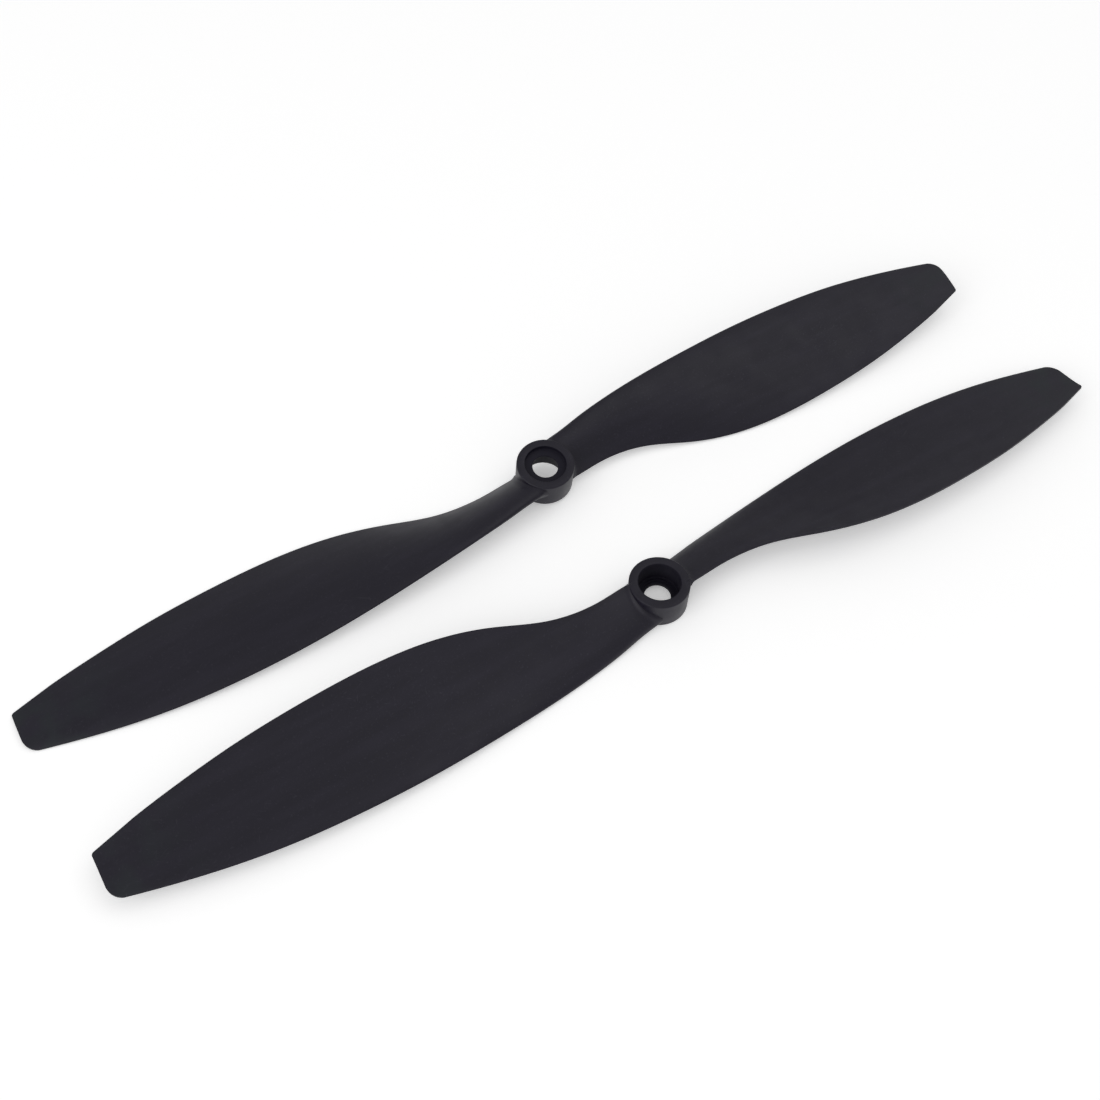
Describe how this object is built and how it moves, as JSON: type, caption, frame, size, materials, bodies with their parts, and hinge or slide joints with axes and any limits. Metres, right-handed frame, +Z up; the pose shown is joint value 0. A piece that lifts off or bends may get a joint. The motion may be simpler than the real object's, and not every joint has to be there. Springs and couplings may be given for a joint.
{
  "type": "propeller pair",
  "caption": "Counter-rotating pair of two-blade slow-fly propellers with twisted, squared-tip blades and short barrel hubs, lying side by side.",
  "frame": {"origin": "on the table, under the middle of the pair", "axes": "+Z up from the table; +X along the blades of both propellers; +Y from the clockwise propeller to the counter-clockwise one"},
  "size_m": [0.2584, 0.0674, 0.011],
  "materials": {
    "moulded_nylon": "matt, lightly scuffed"
  },
  "bodies": {
    "cw_propeller": {"cw_hub": "moulded_nylon", "cw_blade_a": "moulded_nylon", "cw_blade_b": "moulded_nylon"},
    "ccw_propeller": {"ccw_hub": "moulded_nylon", "ccw_blade_a": "moulded_nylon", "ccw_blade_b": "moulded_nylon"}
  },
  "joints": [
    {"name": "lift_off", "type": "slide", "parent": "cw_propeller", "child": "ccw_propeller", "axis": [0, 0, 1], "range_m": [0, 0.05]}
  ]
}
